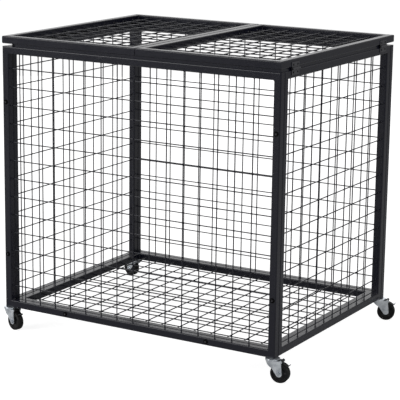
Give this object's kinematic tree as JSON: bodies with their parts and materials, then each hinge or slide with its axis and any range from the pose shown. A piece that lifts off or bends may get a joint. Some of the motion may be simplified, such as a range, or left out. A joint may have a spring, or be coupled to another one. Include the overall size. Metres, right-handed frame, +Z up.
{
  "type": "ball cart",
  "caption": "Rolling wire-mesh cage of square steel tube with two top lids that hinge outward, on swivel casters with brake pedals.",
  "frame": {"origin": "on the floor, under the middle of the cage", "axes": "+X along the long side to the right seen from the front, +Y to the back, +Z up"},
  "size_m": [0.9154, 0.6801, 0.81],
  "materials": {
    "black_powder_coat": "satin powder coat",
    "zinc_plate": "bright zinc plate",
    "dark_hinge_steel": "black oxide and paint",
    "black_wheel_rubber": "satin",
    "black_pedal_plastic": "moulded, fine grain"
  },
  "bodies": {
    "cage": {"front_frame": "black_powder_coat", "front_mesh": "black_powder_coat", "front_lid_rest": "black_powder_coat", "back_frame": "black_powder_coat", "back_mesh": "black_powder_coat", "back_lid_rest": "black_powder_coat", "left_frame": "black_powder_coat", "left_mesh": "black_powder_coat", "left_lid_rest": "black_powder_coat", "right_frame": "black_powder_coat", "right_mesh": "black_powder_coat", "right_lid_rest": "black_powder_coat", "floor_frame": "black_powder_coat", "floor_mesh": "black_powder_coat", "corner_bolts": "dark_hinge_steel", "corner_inserts": "zinc_plate", "floor_bolts": "dark_hinge_steel", "floor_inserts": "zinc_plate", "left_hinge_wall_leaves": "dark_hinge_steel", "right_hinge_wall_leaves": "dark_hinge_steel", "left_hinge_pins": "dark_hinge_steel", "right_hinge_pins": "dark_hinge_steel", "caster_sockets": "zinc_plate", "caster_stems": "zinc_plate", "caster_races": "zinc_plate", "caster_ball_rings": "zinc_plate"},
    "left_lid": {"left_lid_frame": "black_powder_coat", "left_lid_mesh": "black_powder_coat", "left_hinge_lid_leaves": "dark_hinge_steel"},
    "right_lid": {"right_lid_frame": "black_powder_coat", "right_lid_mesh": "black_powder_coat", "right_hinge_lid_leaves": "dark_hinge_steel"},
    "front_left_swivel": {"front_left_fork": "zinc_plate", "front_left_axle": "zinc_plate", "front_left_axle_nut": "zinc_plate", "front_left_pedal_pin": "zinc_plate"},
    "front_left_wheel": {"front_left_wheel": "black_wheel_rubber"},
    "front_left_pedal": {"front_left_brake_pedal": "black_pedal_plastic"},
    "front_right_swivel": {"front_right_fork": "zinc_plate", "front_right_axle": "zinc_plate", "front_right_axle_nut": "zinc_plate", "front_right_pedal_pin": "zinc_plate"},
    "front_right_wheel": {"front_right_wheel": "black_wheel_rubber"},
    "front_right_pedal": {"front_right_brake_pedal": "black_pedal_plastic"},
    "back_left_swivel": {"back_left_fork": "zinc_plate", "back_left_axle": "zinc_plate", "back_left_axle_nut": "zinc_plate", "back_left_pedal_pin": "zinc_plate"},
    "back_left_wheel": {"back_left_wheel": "black_wheel_rubber"},
    "back_left_pedal": {"back_left_brake_pedal": "black_pedal_plastic"},
    "back_right_swivel": {"back_right_fork": "zinc_plate", "back_right_axle": "zinc_plate", "back_right_axle_nut": "zinc_plate", "back_right_pedal_pin": "zinc_plate"},
    "back_right_wheel": {"back_right_wheel": "black_wheel_rubber"},
    "back_right_pedal": {"back_right_brake_pedal": "black_pedal_plastic"}
  },
  "joints": [
    {"name": "left_lid_hinge", "type": "hinge", "parent": "cage", "child": "left_lid", "pos_m": [-0.42275, 0, 0.7865], "axis": [0, -1, 0], "range_deg": [0, 180]},
    {"name": "right_lid_hinge", "type": "hinge", "parent": "cage", "child": "right_lid", "pos_m": [0.42275, 0, 0.7865], "axis": [0, 1, 0], "range_deg": [0, 180]},
    {"name": "front_left_swivel", "type": "hinge", "parent": "cage", "child": "front_left_swivel", "pos_m": [-0.41, -0.3175, 0.063], "axis": [0, 0, 1], "continuous": true},
    {"name": "front_left_wheel_spin", "type": "hinge", "parent": "front_left_swivel", "child": "front_left_wheel", "pos_m": [-0.38981, -0.32329, 0.025], "axis": [0.2756, 0.9613, 0], "continuous": true},
    {"name": "front_left_brake", "type": "hinge", "parent": "front_left_swivel", "child": "front_left_pedal", "pos_m": [-0.38597, -0.32439, 0.056], "axis": [0.2756, 0.9613, 0], "range_deg": [0, 4]},
    {"name": "front_right_swivel", "type": "hinge", "parent": "cage", "child": "front_right_swivel", "pos_m": [0.41, -0.3175, 0.063], "axis": [0, 0, 1], "continuous": true},
    {"name": "front_right_wheel_spin", "type": "hinge", "parent": "front_right_swivel", "child": "front_right_wheel", "pos_m": [0.4308, -0.31458, 0.025], "axis": [-0.1392, 0.9903, 0], "continuous": true},
    {"name": "front_right_brake", "type": "hinge", "parent": "front_right_swivel", "child": "front_right_pedal", "pos_m": [0.43476, -0.31402, 0.056], "axis": [-0.1392, 0.9903, 0], "range_deg": [0, 4]},
    {"name": "back_left_swivel", "type": "hinge", "parent": "cage", "child": "back_left_swivel", "pos_m": [-0.41, 0.3175, 0.063], "axis": [0, 0, 1], "continuous": true},
    {"name": "back_left_wheel_spin", "type": "hinge", "parent": "back_left_swivel", "child": "back_left_wheel", "pos_m": [-0.43054, 0.32187, 0.025], "axis": [-0.2079, -0.9781, 0], "continuous": true},
    {"name": "back_left_brake", "type": "hinge", "parent": "back_left_swivel", "child": "back_left_pedal", "pos_m": [-0.43445, 0.3227, 0.056], "axis": [-0.2079, -0.9781, 0], "range_deg": [0, 4]},
    {"name": "back_right_swivel", "type": "hinge", "parent": "cage", "child": "back_right_swivel", "pos_m": [0.41, 0.3175, 0.063], "axis": [0, 0, 1], "continuous": true},
    {"name": "back_right_wheel_spin", "type": "hinge", "parent": "back_right_swivel", "child": "back_right_wheel", "pos_m": [0.42973, 0.32468, 0.025], "axis": [-0.342, 0.9397, 0], "continuous": true},
    {"name": "back_right_brake", "type": "hinge", "parent": "back_right_swivel", "child": "back_right_pedal", "pos_m": [0.43349, 0.32605, 0.056], "axis": [-0.342, 0.9397, 0], "range_deg": [0, 4]}
  ]
}
